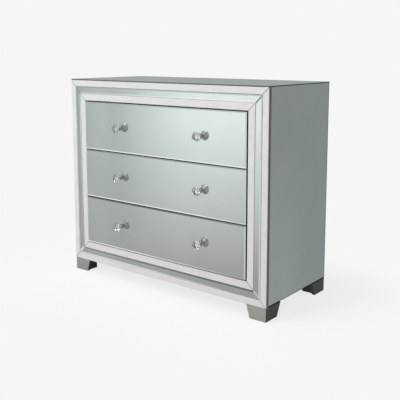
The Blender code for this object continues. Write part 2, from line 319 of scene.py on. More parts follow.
def grain_group():
    """Streaks along the way a thing was sawn, rolled or brushed. Stretch is small along them."""
    group, entry, outlet = new_group(
        "grain", {"Stretch": "NodeSocketVector", "Raggedness": "NodeSocketFloat"}, "Streaks"
    )
    place = object_place(group)
    noise = add_node(
        group,
        "ShaderNodeTexNoise",
        {
            "Vector": vector_step(group, "MULTIPLY", place, entry.outputs["Stretch"])["Vector"],
            "Scale": 1.0,
            "Detail": 5.0,
            "Roughness": 0.62,
            "Distortion": entry.outputs["Raggedness"],
        },
    )
    streaks = ramp(group, noise.outputs["Fac"], noise_trough, noise_peak)
    group.links.new(streaks, outlet.inputs["Streaks"])
    return group


grain = grain_group()


def streaks_along(axis, along, across):
    """The stretch of a grain that runs along an axis, from its waves per metre each way."""
    return tuple(along if letter == axis else across for letter in "xyz")


def pale_foil(axis):
    """Pale melamine foil with a printed linear grain, embossed a little along it."""
    material, tree, shader = new_material(f"pale_foil_along_{axis}", foil_pale)
    streaks = placed(tree, grain, Stretch=streaks_along(axis, *foil_waves), Raggedness=0.35)
    printed = mixed_colour(tree, streaks, foil_streak, foil_pale)
    coat(tree, shader, dusted(tree, printed, amount=0.25), streaks, foil_roughness)
    raise_surface(tree, shader, streaks, foil_emboss)
    return material


foil_along = {axis: pale_foil(axis) for axis in "xy"}

for node, axis in (
    ("left_runner_board", "y"),
    ("right_runner_board", "y"),
    ("lower_divider_rail", "x"),
    ("upper_divider_rail", "x"),
):
    inner_board = board_in_place(f"{node}_foiled", node, foil_ease, foil_along[axis])
    put_on(inner_board, "carcass", "drawer_board", node)


# Back panel and its screws. A thin hardboard sheet, painted black like the case, is screwed to
# the rear edges of the boards with small countersunk zinc screws whose heads lie just sunk.
screw_head = 0.0032
screw_shank = 0.0015
screw_depth = 0.0022
screw_sides = 24
screw_sunk = 0.0002
recess_reach = 0.0017
recess_wall = 0.0004
countersink_room = 0.0003
cut_overrun = 0.002
back_screw_inset = 0.010
back_screw_columns = 6
back_screw_rows = 5
zinc_bright = (0.60, 0.60, 0.58)
zinc_dull = (0.42, 0.42, 0.40)
zinc_roughness = (0.26, 0.45)
quarter_turn = math.pi / 2
# Turns that take a piece made to look up, along +Z, to each way that it can look
turns_to = {
    "front": (quarter_turn, 0, 0),
    "back": (-quarter_turn, 0, 0),
    "right": (0, quarter_turn, 0),
    "left": (0, -quarter_turn, 0),
    "down": (2 * quarter_turn, 0, 0),
}


def two_tone(name, first, second, roughness, size, cover, metallic=0.0, depth=0.0):
    """A surface that goes in patches from one tone to another and between two roughnesses, with
    the patches in relief if they have a depth."""
    material, tree, shader = new_material(name, first, metallic)
    patches = placed(tree, mottle, Size=size, Cover=cover)
    coat(tree, shader, mixed_colour(tree, patches, first, second), patches, roughness)
    if depth:
        raise_surface(tree, shader, patches, depth)
    return material


zinc_plate = two_tone(
    "zinc", zinc_bright, zinc_dull, zinc_roughness, size=0.0015, cover=0.35, metallic=1.0
)


def throw_away(*pieces):
    for piece in pieces:
        bpy.data.objects.remove(piece, do_unlink=True)


def subtract(piece, *tools):
    """Cuts the tools out of the piece and throws them away."""
    for tool in tools:
        cutting = piece.modifiers.new(tool.name, "BOOLEAN")
        cutting.operation = "DIFFERENCE"
        cutting.object = tool
    apply_modifiers(piece)
    throw_away(*tools)


def new_cone(name, low_radius, high_radius, depth, sides):
    """A cone or disc whose upper face lies at z = 0."""
    bpy.ops.object.select_all(action="DESELECT")
    bpy.ops.mesh.primitive_cone_add(
        vertices=sides,
        radius1=low_radius,
        radius2=high_radius,
        depth=depth,
        location=(0, 0, -depth / 2),
    )
    return named_piece(name)


def put_in_place(piece, place=(0, 0, 0), turn=(0, 0, 0)):
    """Turns and moves a piece, and puts its place in its mesh."""
    select_only(piece)
    piece.rotation_euler = turn
    piece.location = place
    bpy.ops.object.transform_apply(location=True, rotation=True, scale=True)


def copy_at(original, name, place, turn=(0, 0, 0)):
    """A copy with its own mesh, turned and moved."""
    select_only(original)
    bpy.ops.object.duplicate(linked=False)
    copy = bpy.context.object
    copy.name = name
    put_in_place(copy, place, turn)
    return copy


def joined(name, pieces):
    select_only(*pieces)
    bpy.ops.object.join()
    bpy.context.object.name = name
    return bpy.context.object


def cross_recess(low_z, high_z):
    """Two crossed blocks that cut the recess for a driver."""
    return [
        new_block("recess", (-reach_x, -reach_y, low_z), (reach_x, reach_y, high_z))
        for reach_x, reach_y in ((recess_reach, recess_wall), (recess_wall, recess_reach))
    ]


cross_screw = new_cone("cross_screw", screw_shank, screw_head, screw_depth, screw_sides)
subtract(cross_screw, *cross_recess(-screw_depth / 2, cut_overrun))
finish_with(cross_screw, zinc_plate)
put_in_place(cross_screw, (0, 0, -screw_sunk))


def fit_screws(name, board, places, facing, body):
    """Countersinks a board at each place on its face and sets a screw there."""
    turn = turns_to[facing]
    sink_head = screw_head + countersink_room
    sink = new_cone("sink", screw_shank, sink_head, screw_depth + screw_sunk, screw_sides)
    subtract(board, joined("holes", [copy_at(sink, "hole", place, turn) for place in places]))
    shade_rounded(board)
    throw_away(sink)
    screws = joined(name, [copy_at(cross_screw, "head", place, turn) for place in places])
    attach(screws, body)


def evenly(start, end, count):
    return [start + (end - start) * step / (count - 1) for step in range(count)]


low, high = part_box("back_panel")
back = new_block("back_panel_sheet", low, high)
ease_edges(back, saw_ease)
screw_columns = evenly(low.x + back_screw_inset, high.x - back_screw_inset, back_screw_columns)
screw_rows = evenly(low.z + back_screw_inset, high.z - back_screw_inset, back_screw_rows)
back_places = [(x, high.y, z) for x in screw_columns for z in (screw_rows[0], screw_rows[-1])]
back_places += [
    (x, high.y, z) for z in screw_rows[1:-1] for x in (screw_columns[0], screw_columns[-1])
]
fit_screws("back_panel_screws", back, back_places, "back", "carcass")
finish_with(back, black)
put_on(back, "carcass", "black_board", "back_panel")


# Runners. Each is a planed beech strip screwed to its runner board, with a raised nose at the
# front that stops the drawer; the arrises are taken off so that the groove slides over it.
drawer_names = ("bottom", "middle", "top")
nose_length = 0.015
stop_height = 0.003
runner_ease = 0.0008
runner_screw_shares = (0.12, 0.5, 0.88)
squarely = 0.9
cut_tolerance = 0.00001
beech_pale = (0.60, 0.42, 0.25)
beech_deep = (0.46, 0.29, 0.16)
beech_fleck = (0.30, 0.17, 0.09)
beech_roughness = (0.52, 0.38)
beech_pores = 0.00012
beech_waves = (14, 260)
fleck_waves = (420, 1500)
fleck_start = 0.86


def beech():
    """Waxed beech: long soft grain with the short dark flecks of its rays."""
    material, tree, shader = new_material("beech", beech_pale)
    streaks = placed(tree, grain, Stretch=streaks_along("y", *beech_waves), Raggedness=0.8)
    rays = placed(tree, grain, Stretch=streaks_along("y", *fleck_waves), Raggedness=0.1)
    wood = mixed_colour(tree, streaks, beech_deep, beech_pale)
    flecked = mixed_colour(tree, ramp(tree, rays, fleck_start, 1.0), wood, beech_fleck)
    coat(tree, shader, dusted(tree, flecked, amount=0.3), streaks, beech_roughness)
    raise_surface(tree, shader, streaks, beech_pores)
    return material


waxed_beech = beech()


def edit(piece):
    select_only(piece)
    bpy.ops.object.mode_set(mode="EDIT")


def end_edit():
    bpy.ops.object.mode_set(mode="OBJECT")


def pick_faces(test):
    """In edit mode, selects only the faces that pass a test on their middle and normal."""
    bpy.ops.mesh.select_mode(type="FACE")
    bpy.ops.mesh.select_all(action="DESELECT")
    shape = bmesh.from_edit_mesh(bpy.context.object.data)
    for face in shape.faces:
        face.select_set(bool(test(face.calc_center_median(), face.normal)))
    bmesh.update_edit_mesh(bpy.context.object.data)


def pick_edges(test):
    """In edit mode, selects only the edges that pass a test on their two ends."""
    bpy.ops.mesh.select_mode(type="EDGE")
    bpy.ops.mesh.select_all(action="DESELECT")
    shape = bmesh.from_edit_mesh(bpy.context.object.data)
    for edge in shape.edges:
        edge.select_set(bool(test(*(vert.co for vert in edge.verts))))
    bmesh.update_edit_mesh(bpy.context.object.data)


def slice_at(place, normal, keep_all=True):
    """In edit mode, cuts the whole mesh along a plane, and drops what lies beyond it or not."""
    bpy.ops.mesh.select_all(action="SELECT")
    bpy.ops.mesh.bisect(
        plane_co=place,
        plane_no=normal,
        use_fill=not keep_all,
        clear_outer=not keep_all,
        threshold=cut_tolerance,
    )


for drawer in drawer_names:
    for side, facing in (("left", "right"), ("right", "left")):
        node = f"{drawer}_{side}_runner"
        low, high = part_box(node)
        strip_top = high.z - stop_height
        nose_end = low.y + nose_length
        runner = new_block(f"{node}_strip", low, (high.x, high.y, strip_top))
        edit(runner)
        slice_at((0, nose_end, 0), (0, 1, 0))
        pick_faces(lambda middle, normal: normal.z > squarely and middle.y < nose_end)
        bpy.ops.mesh.extrude_region_move(TRANSFORM_OT_translate={"value": (0, 0, stop_height)})
        end_edit()
        ease_edges(runner, runner_ease)
        face_x = high.x if facing == "right" else low.x
        middle_z = (low.z + strip_top) / 2
        places = [
            (face_x, low.y + (high.y - low.y) * share, middle_z) for share in runner_screw_shares
        ]
        fit_screws(f"{node}_screws", runner, places, facing, "carcass")
        finish_with(runner, waxed_beech)
        put_on(runner, "carcass", "hardwood", node)


# Frame mouldings. Four lengths of wood moulding under satin silver leaf, mitred at the corners:
# two flat bands with burnished rounded edges, lighter in colour as a painted highlight, and a slot
# between them for the mirror. Their outer sides are in a much darker leaf as painted shade, and a
# fine groove, coloured black as painted shade, is cut along each mitre.
seat_gap = 0.0003
outer_band = 0.025
strip_slot = 0.0285
slot_end = outer_band + strip_slot
slot_depth = 0.0033
outer_ease = 0.0025
lip_ease = 0.0015
ease_steps = 6
mitre_gap = seat_gap / math.sqrt(2)
mitre_groove = 0.0006
groove_slope = 0.2
on_line = 0.00005
flat_below = 0.995
leaf_waves = (12, 900)
leaf_relief = 0.00003
streak_share = 0.35
cloud_share = 0.45
roughness_spread = (-0.04, 0.06)
# Each kind of leaf: its colour where it is bright and where it is thin, its roughness and its
# metallic value
leaf_kinds = {
    "silver": ((0.750, 0.745, 0.750), (0.680, 0.675, 0.680), 0.34, 0.50),
    # Burnished leaf: smoother and more metallic, and lighter in colour as a painted highlight
    "burnished_highlight": ((0.900, 0.895, 0.900), (0.820, 0.815, 0.820), 0.22, 0.85),
    # A far darker copy of the leaf: painted shade on the mouldings' outer sides
    "side_shade": ((0.30, 0.30, 0.29), (0.24, 0.24, 0.23), 0.32, 0.90),
}
plain_leaf, burnished_highlight_leaf, side_shade_leaf, groove_shade = range(4)


def silver_leaf(name, axis, bright, thin, roughness, metallic):
    """Silver leaf over size: brushed along the moulding, cloudy where it is thin."""
    material, tree, shader = new_material(name, bright, metallic)
    brushed = placed(tree, grain, Stretch=streaks_along(axis, *leaf_waves), Raggedness=0.2)
    clouds = placed(tree, mottle, Size=0.030, Cover=0.40)
    streaky = between(tree, brushed, 0, streak_share)
    cloudy = between(tree, clouds, 0, cloud_share)
    thinness = arithmetic(tree, "ADD", streaky, cloudy)
    limits = [roughness + shift for shift in roughness_spread]
    coat(tree, shader, mixed_colour(tree, thinness, bright, thin), clouds, limits)
    raise_surface(tree, shader, brushed, leaf_relief)
    return material


leaf_along = {
    axis: [silver_leaf(f"{kind}_leaf_{axis}", axis, *values) for kind, values in leaf_kinds.items()]
    for axis in "xz"
}

frame_low, bottom_rail_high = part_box("frame_bottom_rail")
frame_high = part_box("frame_top_rail")[1]
front_y = frame_low.y
frame_depth = bottom_rail_high.y - front_y
frame_width = bottom_rail_high.z - frame_low.z
frame_middle_z = (frame_low.z + frame_high.z) / 2
half_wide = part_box("frame_right_stile")[1].x
half_tall = (frame_high.z - frame_low.z) / 2
# Each length: its quarter turns from the bottom rail, half its run, the place in X and Z of the
# middle of its outer edge, and the axis that it runs along
members = {
    "bottom_rail": (0, half_wide, (0, frame_low.z), "x"),
    "right_stile": (1, half_tall, (half_wide, frame_middle_z), "z"),
    "top_rail": (2, half_wide, (0, frame_high.z), "x"),
    "left_stile": (3, half_tall, (-half_wide, frame_middle_z), "z"),
}


def mitre_ends(half_run):
    """In edit mode, cuts both ends at 45 degrees through the frame's outer corners."""
    for side in (-1, 1):
        slice_at((side * (half_run - mitre_gap), 0, 0), (side, 0, 1), keep_all=False)


def turn_into_frame(piece, quarter_turns, place):
    """Takes a length that was made as a bottom rail, at the origin, to its side of the frame."""
    put_in_place(piece, (place[0], front_y, place[1]), (0, -quarter_turns * quarter_turn, 0))


for member, (quarter_turns, half_run, place, axis) in members.items():
    length = new_block(
        f"{member}_moulding", (-half_run, 0, 0), (half_run, frame_depth, frame_width)
    )
    edit(length)
    for height in (outer_band, slot_end):
        slice_at((0, 0, height), (0, 0, 1))
    pick_faces(lambda middle, normal: normal.y < -squarely and outer_band < middle.z < slot_end)
    bpy.ops.mesh.extrude_region_move(TRANSFORM_OT_translate={"value": (0, slot_depth, 0)})
    for heights, width in (((0,), outer_ease), ((outer_band, slot_end, frame_width), lip_ease)):
        pick_edges(
            lambda start, end: max(start.y, end.y) < on_line
            and abs(start.z - end.z) < on_line
            and min(abs(start.z - height) for height in heights) < on_line
        )
        bpy.ops.mesh.bevel(offset=width, segments=ease_steps, affect="EDGES")
    mitre_ends(half_run)
    pick_edges(
        lambda start, end: max(start.y, end.y) < outer_ease + on_line
        and all(
            abs(half_run - mitre_gap - abs(point.x) - point.z) < on_line for point in (start, end)
        )
    )
    bpy.ops.mesh.bevel(offset=mitre_groove, segments=1, affect="EDGES")
    end_edit()
    shade_rounded(length)
    finish_with(length, *leaf_along[axis], black)
    for face in length.data.polygons:
        towards = -face.normal.y
        face.material_index = plain_leaf
        # Rounded edges take the burnished leaf, whose lighter colour is a painted highlight
        if flat_below > towards > 1 - flat_below and face.center.z < frame_width - lip_ease:
            face.material_index = burnished_highlight_leaf
        # The outer side takes the darker leaf, painted shade
        if face.center.z < on_line:
            face.material_index = side_shade_leaf
        # The mitre groove's faces are coloured black as painted shade
        if abs(face.normal.x) > groove_slope and towards > groove_slope:
            face.material_index = groove_shade
    turn_into_frame(length, quarter_turns, place)
    put_on(length, "carcass", "silver_leaf", f"frame_{member}")


# Mirror strips. Narrow lengths of silvered glass, their face edges ground to a bevel and their
# ends mitred, bedded with a small margin in the slot of each moulding, just proud of the leaf.
strip_proud = 0.001
strip_margin = 0.001
strip_glass = 0.004
bevel_width = 0.0045
bevel_drop = 0.0018
glass_ease = 0.0002
silvering_tint = (0.73, 0.81, 0.80)
silvering_deep = (0.70, 0.785, 0.775)
silvering_rim = (0.80, 0.93, 0.90)
silvering_roughness = (0.055, 0.085)
glass_wave = 0.00002
glass_edge_green = (0.060, 0.078, 0.075)
glass_edge_pale = (0.072, 0.092, 0.088)
glass_edge_roughness = (0.20, 0.28)
grinding_depth = 0.00001
backing_grey = (0.24, 0.25, 0.26)
backing_thin = (0.32, 0.33, 0.34)
backing_roughness = (0.52, 0.68)
rolling_depth = 0.00006
silvered_above = 0.7
silvered, ground, painted = range(3)


def silvering():
    """Silver seen through clear float glass, faintly hazed where it was last wiped."""
    material, tree, shader = new_material("silvering", silvering_tint, metallic=1.0)
    shader.inputs["Specular Tint"].default_value = (*silvering_rim, 1)
    wiped = placed(tree, mottle, Size=0.11, Cover=0.35)
    waves = placed(tree, mottle, Size=0.16, Cover=0.5)
    colour = mixed_colour(tree, wiped, silvering_tint, silvering_deep)
    coat(tree, shader, colour, wiped, silvering_roughness)
    raise_surface(tree, shader, waves, glass_wave)
    return material


# The silvered face, the sheet's own edge, which is ground glass and green through its width,
# and the grey paint that is rolled on over the silver at the back
glass_finishes = (
    silvering(),
    two_tone(
        "ground_edge",
        glass_edge_green,
        glass_edge_pale,
        glass_edge_roughness,
        size=0.0025,
        cover=0.4,
        depth=grinding_depth,
    ),
    two_tone(
        "backing_paint",
        backing_grey,
        backing_thin,
        backing_roughness,
        size=0.004,
        cover=0.45,
        depth=rolling_depth,
    ),
)


def new_sheet(name, left, right, bottom, top, thickness):
    """A plain sheet that looks towards -Y, with its face at y = 0 once its edges are ground."""
    return new_block(name, (left, bevel_drop, bottom), (right, thickness, top))


def grind_face_edges(sheet, width, drop):
    """Insets the face and brings it forward, which leaves a sloping bevel all round."""
    edit(sheet)
    pick_faces(lambda middle, normal: normal.y < -squarely)
    bpy.ops.mesh.inset(thickness=width, depth=drop, use_even_offset=True)
    end_edit()
    round_edges(sheet, glass_ease, 1)


def silver_glass(sheet):
    """Silvering on the face and its bevels, ground glass on the rim, paint on the back."""
    select_only(sheet)
    bpy.ops.object.shade_flat()
    finish_with(sheet, *glass_finishes)
    for face in sheet.data.polygons:
        towards = -face.normal.y
        face.material_index = silvered if towards > silvered_above else ground
        if towards < -silvered_above:
            face.material_index = painted


for member, (quarter_turns, half_run, place, axis) in members.items():
    strip = new_sheet(
        f"{member}_strip",
        -half_run,
        half_run,
        outer_band + strip_margin,
        slot_end - strip_margin,
        strip_glass,
    )
    edit(strip)
    mitre_ends(half_run)
    end_edit()
    grind_face_edges(strip, bevel_width, bevel_drop)
    silver_glass(strip)
    put_in_place(strip, (0, -strip_proud, 0))
    turn_into_frame(strip, quarter_turns, place)
    put_on(strip, "carcass", "mirror", f"{member}_mirror_strip")


# Side and top mirrors. One sheet of silvered float glass covers each side and the whole top,
# stuck flat to the case, with its edges seamed to a narrow arris so that they don't cut.
arris_width = 0.0012
arris_drop = 0.0008


def wall_sheet(node, facing):
    """One sheet in a node's place, made facing -Y and then turned to its side."""
    low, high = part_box(node)
    size = high - low
    middle = (low + high) / 2
    across, up, thickness, turn, face = {
        "right": (size.y, size.z, size.x, (0, 0, quarter_turn), (high.x, middle.y, middle.z)),
        "left": (size.y, size.z, size.x, (0, 0, -quarter_turn), (low.x, middle.y, middle.z)),
        "up": (size.x, size.y, size.z, (-quarter_turn, 0, 0), (middle.x, middle.y, high.z)),
    }[facing]
    sheet = new_block(
        f"{node}_sheet", (-across / 2, arris_drop, -up / 2), (across / 2, thickness, up / 2)
    )
    grind_face_edges(sheet, arris_width, arris_drop)
    silver_glass(sheet)
    put_in_place(sheet, face, turn)
    put_on(sheet, "carcass", "mirror", node)


wall_sheet("right_side_mirror", "right")
wall_sheet("left_side_mirror", "left")
wall_sheet("top_mirror", "up")


# Feet. Each is a bracket of two boards, mitred at the outer corner and cut to a taper on the
# inner ends. The front and rear boards are in champagne silver leaf and the side boards in a much
# darker leaf, as painted shade; inside they are painted black, with a block glued into the corner.
foot_thickness = 0.012
# Lengths at the top and at the floor of a board that runs along X, and of one along Y
foot_lengths = ((0.081, 0.067), (0.094, 0.071))
foot_block = 0.048
foot_ease = 0.0008
foot_steps = 3
foot_joint = 0.0001
leafed_above = 0.3
champagne_light = (0.450, 0.462, 0.470)
champagne_dark = (0.400, 0.411, 0.418)
champagne_olive = (0.395, 0.400, 0.300)
# The side boards' leaf, far darker than the front's: painted shade
foot_side_shade_light = (0.155, 0.155, 0.15)
foot_side_shade_dark = (0.125, 0.125, 0.12)
champagne_roughness = (0.30, 0.40)
champagne_waves = (30, 700)
brushed_share = 0.6
low_olive_share = 0.7
low_olive_heights = (0.034, 0.004)


def champagne_leaf(name, light, dark, olive):
    """Champagne-silver leaf, turning olive and darker towards the floor."""
    material, tree, shader = new_material(name, light, metallic=0.9)
    brushed = placed(tree, grain, Stretch=streaks_along("z", *champagne_waves), Raggedness=0.3)
    place = object_place(tree)
    height = add_node(tree, "ShaderNodeSeparateXYZ", {"Vector": place}).outputs["Z"]
    low_olive = ramp(tree, height, *low_olive_heights)
    leaf = mixed_colour(tree, between(tree, brushed, 0, brushed_share), light, dark)
    leaf_low_olive = mixed_colour(tree, between(tree, low_olive, 0, low_olive_share), leaf, olive)
    coat(tree, shader, leaf_low_olive, brushed, champagne_roughness)
    raise_surface(tree, shader, brushed, leaf_relief)
    return material


foot_leaf = (
    champagne_leaf("champagne_leaf", champagne_light, champagne_dark, champagne_olive),
    champagne_leaf("foot_side_shade_leaf", foot_side_shade_light, foot_side_shade_dark, foot_side_shade_dark),
)


def foot_board(name, corner, outward, along, height):
    """One board of a bracket foot. Outward points from the foot's middle to its outer corner,
    and along is the axis that the board runs on: 0 is X and 1 is Y."""
    across = 1 - along
    top_end, bottom_end = foot_lengths[along]
    far = Vector(corner)
    far[along] -= outward[along] * top_end
    far[across] -= outward[across] * foot_thickness
    far.z = height
    piece = new_block(name, map(min, corner, far), map(max, corner, far))
    edit(piece)
    pick_edges(
        lambda start, end: max(start.z, end.z) < on_line
        and max(abs(start[along] - far[along]), abs(end[along] - far[along])) < on_line
    )
    taper = [0, 0, 0]
    taper[along] = outward[along] * (top_end - bottom_end)
    bpy.ops.transform.translate(value=taper)
    mitre = [0, 0, 0]
    mitre[along] = outward[along]
    mitre[across] = -outward[across]
    joint_place = [corner[0], corner[1], 0]
    joint_place[along] -= outward[along] * foot_joint
    slice_at(joint_place, mitre, keep_all=False)
    end_edit()
    ease_edges(piece, foot_ease, foot_steps)
    finish_with(piece, foot_leaf[along], black)
    for face in piece.data.polygons:
        face.material_index = int(face.normal[across] * outward[across] < leafed_above)
    return piece


for end, end_sign in (("front", -1), ("rear", 1)):
    for side, side_sign in (("left", -1), ("right", 1)):
        node = f"{end}_{side}_foot"
        low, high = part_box(node)
        corner = (high.x if side_sign > 0 else low.x, high.y if end_sign > 0 else low.y, 0)
        outward = (side_sign, end_sign)
        for along, label in enumerate((end, "side")):
            board = foot_board(f"{node}_{label}_board", corner, outward, along, high.z)
            put_on(board, "carcass", "champagne", node)
        near = [corner[axis] - outward[axis] * (foot_thickness + seat_gap) for axis in (0, 1)]
        far = [near[axis] - outward[axis] * foot_block for axis in (0, 1)]
        block = new_block(
            f"{node}_glue_block",
            (*map(min, near, far), 0),
            (*map(max, near, far), high.z),
        )
        ease_edges(block, saw_ease)
        finish_with(block, black)
        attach(block, "carcass")


# Drawer boxes. Two grooved sides of foiled board and a black fibreboard front hold a thin
# bottom in a groove, and the back stands on it at the rear. The front carries the mirror.
groove_bite = 0.006
running_gap = 0.0005
lip_length = 0.070
knob_screw_hole = 0.0025
mirror_low, mirror_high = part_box("bottom_drawer_mirror")
drawer_rise = {
    name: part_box(f"{name}_drawer_mirror")[0].z - mirror_low.z for name in drawer_names
}
knob_z = (mirror_low.z + mirror_high.z) / 2
left_low, left_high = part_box("bottom_drawer_left_knob_crystal")
knob_x = abs((left_low.x + left_high.x) / 2)
knob_middles = {"left": -knob_x, "right": knob_x}
floor_low, floor_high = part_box("bottom_drawer_bottom")
groove_low = floor_low - Vector((seat_gap, seat_gap, seat_gap))
groove_high = floor_high + Vector((seat_gap, cut_overrun, seat_gap))


def give_each_drawer(original, label, slot, node_label):
    """Puts a piece of the lowest drawer, and copies of it, on all three drawers."""
    for name in reversed(drawer_names):
        piece = original
        if drawer_rise[name] > 0:
            piece = copy_at(original, label, (0, 0, drawer_rise[name]))
        piece.name = f"{name}_drawer_{label}"
        put_on(piece, f"{name}_drawer", slot, f"{name}_drawer_{node_label}")


def knob_drills(low_y, high_y):
    """Two drills, one through each knob's place."""
    depth = high_y - low_y + 2 * cut_overrun
    drill = new_cone("drill", knob_screw_hole, knob_screw_hole, depth, screw_sides)
    drills = [
        copy_at(drill, "drill", (x, low_y - cut_overrun, knob_z), turns_to["front"])
        for x in knob_middles.values()
    ]
    throw_away(drill)
    return drills


drawer_floor = board_in_place("drawer_floor", "bottom_drawer_bottom", saw_ease, foil_along["x"])
give_each_drawer(drawer_floor, "floor_panel", "drawer_board", "bottom")

low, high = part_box("bottom_drawer_front_board")
front_board = new_block("drawer_front", low, high)
floor_groove = new_block("floor_groove", groove_low, groove_high)
subtract(front_board, floor_groove, *knob_drills(low.y, high.y))
ease_edges(front_board, saw_ease)
finish_with(front_board, black)
give_each_drawer(front_board, "front_panel", "black_board", "front_board")

runner_low, runner_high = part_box("bottom_left_runner")
runner_top = runner_high.z - stop_height
for side, side_sign in (("left", -1), ("right", 1)):
    low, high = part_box(f"bottom_drawer_{side}_side")
    groove_floor = max(abs(low.x), abs(high.x)) - groove_bite - running_gap
    groove_edges = sorted((side_sign * groove_floor, side_sign * (groove_floor + groove_bite * 2)))
    groove_start = (groove_edges[0], runner_low.y - seat_gap, runner_low.z - running_gap)
    runner_end = (groove_edges[1], high.y + cut_overrun, runner_top + seat_gap)
    nose_end = (groove_edges[1], high.y - lip_length, runner_high.z + seat_gap)
    side_board = new_block("drawer_side", low, high)
    subtract(
        side_board,
        new_block("floor_groove", groove_low, groove_high),
        new_block("runner_groove", groove_start, runner_end),
        new_block("nose_groove", groove_start, nose_end),
    )
    ease_edges(side_board, saw_ease)
    finish_with(side_board, foil_along["y"])
    give_each_drawer(side_board, f"{side}_side_board", "drawer_board", f"{side}_side")

drawer_back = board_in_place("drawer_back", "bottom_drawer_back", foil_ease, foil_along["x"])
give_each_drawer(drawer_back, "back_board", "drawer_board", "back")


# Drawer mirrors. Each drawer front is faced with its own sheet of silvered glass, bevelled on
# all four face edges and drilled for the two knobs.
front_glass = mirror_high.y - mirror_low.y
sheet = new_sheet(
    "drawer_sheet", mirror_low.x, mirror_high.x, mirror_low.z, mirror_high.z, front_glass
)
grind_face_edges(sheet, bevel_width, bevel_drop)
subtract(sheet, *knob_drills(-cut_overrun, front_glass))
silver_glass(sheet)
put_in_place(sheet, (0, mirror_low.y, 0))
give_each_drawer(sheet, "mirror_sheet", "mirror", "mirror")


# Knobs. A turned and chromed brass base, waisted between its flange and the cup, is screwed on
# from inside the drawer, and a clear crystal head is cemented into the cup.
knob_stem = 0.0115
flange_radius = 0.010
flange_height = 0.003
neck_radius = 0.0048
cup_radius = 0.0080
cup_height = 0.0035
cup_foot = knob_stem - cup_height
neck_height = (flange_height + cup_foot) / 2
waist_radius = (neck_radius + cup_radius) / 2
rim = flange_height / 3
turning_sides = 48
turning_steps = 6
chrome_dark_reflection = (0.40, 0.41, 0.41)
chrome_dark_reflection_marked = (0.32, 0.33, 0.33)
chrome_roughness = (0.05, 0.16)


# Polished chrome plate, its colour darkened as a painted dark reflection, and a little dim where
# fingers have marked it
chrome = two_tone(
    "chrome", chrome_dark_reflection, chrome_dark_reflection_marked, chrome_roughness, size=0.006, cover=0.3, metallic=1.0
)


def arc_rings(start, end, hollow=False):
    """Radii and heights along a quarter curve from start to end, bulging out or hollowed."""
    rings = []
    for step in range(1, turning_steps + 1):
        angle = quarter_turn * step / turning_steps
        shares = (1 - math.cos(angle), math.sin(angle))
        if hollow:
            shares = shares[::-1]
        rings.append(tuple(a + (b - a) * share for a, b, share in zip(start, end, shares)))
    return rings


# The flange rises to a rounded rim, hollows in to the neck and flares out to the cup
base_rings = [(flange_radius, seat_gap), (flange_radius, flange_height - rim)]
base_rings += arc_rings(base_rings[-1], (flange_radius - rim, flange_height))
base_rings += [(waist_radius + rim, flange_height)]
base_rings += arc_rings(base_rings[-1], (neck_radius, neck_height), hollow=True)
for step in range(1, turning_steps + 1):
    share_up = step / turning_steps
    radius = neck_radius + (cup_radius - neck_radius) * share_up**2
    base_rings.append((radius, neck_height + (cup_foot - neck_height) * share_up))
base_rings += [(cup_radius, knob_stem - rim), (cup_radius - rim / 2, knob_stem)]


def turned_piece(name, rings, sides):
    """A solid turned round local Z: a disc extruded and scaled from ring to ring."""
    bpy.ops.object.select_all(action="DESELECT")
    radius, height = rings[0]
    bpy.ops.mesh.primitive_circle_add(
        vertices=sides, radius=radius, fill_type="NGON", location=(0, 0, height)
    )
    piece = named_piece(name)
    edit(piece)
    bpy.ops.mesh.select_mode(type="FACE")
    bpy.ops.mesh.select_all(action="SELECT")
    for next_radius, next_height in rings[1:]:
        step_up = (0, 0, next_height - height)
        bpy.ops.mesh.extrude_region_move(TRANSFORM_OT_translate={"value": step_up})
        growth = next_radius / radius
        bpy.ops.transform.resize(value=(growth, growth, 1), center_override=(0, 0, next_height))
        radius = next_radius
        height = next_height
    bpy.ops.mesh.select_all(action="SELECT")
    bpy.ops.mesh.normals_make_consistent(inside=False)
    end_edit()
    shade_rounded(piece)
    return piece


def give_each_knob(original, label, slot, depth, node_label=None):
    """Turns a piece made round Z to face the front, and copies it to all six knobs."""
    put_in_place(original, (0, mirror_low.y + depth, knob_z), turns_to["front"])
    for side, x in knob_middles.items():
        for name in drawer_names:
            knob = f"{name}_drawer_{side}"
            piece = copy_at(original, f"{knob}_{label}", (x, 0, drawer_rise[name]))
            nodes = [f"{knob}_{node_label}"] if node_label else []
            put_on(piece, f"{name}_drawer", slot, *nodes)
    throw_away(original)


knob_base = turned_piece("knob_base", base_rings, turning_sides)
finish_with(knob_base, chrome)
give_each_knob(knob_base, "knob_stem", "chrome", 0, "knob_base")


# Knob screws. Each knob is held by a round-headed zinc screw with a washer, seen only inside
# the drawer, where its head lies against the back of the front board.
washer_radius = 0.0052
washer_thickness = 0.0006
pan_radius = 0.0040
pan_height = 0.0020
pan_rim_share = 0.3
board_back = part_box("bottom_drawer_front_board")[1].y - mirror_low.y

pan_rings = [(washer_radius, 0), (washer_radius, washer_thickness), (pan_radius, washer_thickness)]
for step in range(turning_steps):
    angle = quarter_turn * step / turning_steps
    height_share = pan_rim_share + (1 - pan_rim_share) * math.sin(angle)
    pan_rings.append((pan_radius * math.cos(angle), washer_thickness + pan_height * height_share))
pan_head = turned_piece("pan_head", pan_rings, screw_sides)
subtract(pan_head, *cross_recess(washer_thickness + pan_height / 2, 2 * pan_height))
finish_with(pan_head, zinc_plate)
put_in_place(pan_head, turn=turns_to["down"])
give_each_knob(pan_head, "knob_screw", None, board_back + seat_gap)


# Crystal heads. A lead-crystal blank is held to the wheel and ground flat tier by tier: a deep
# cone of facets down to the cup, a narrow girdle, two tiers over the front and a flat table.
# Silver foil behind the rear facets makes the head bright from the front.
crystal_radius = 0.018
crystal_depth = 0.022
crystal_sides = 12
crystal_edge = 0.00012
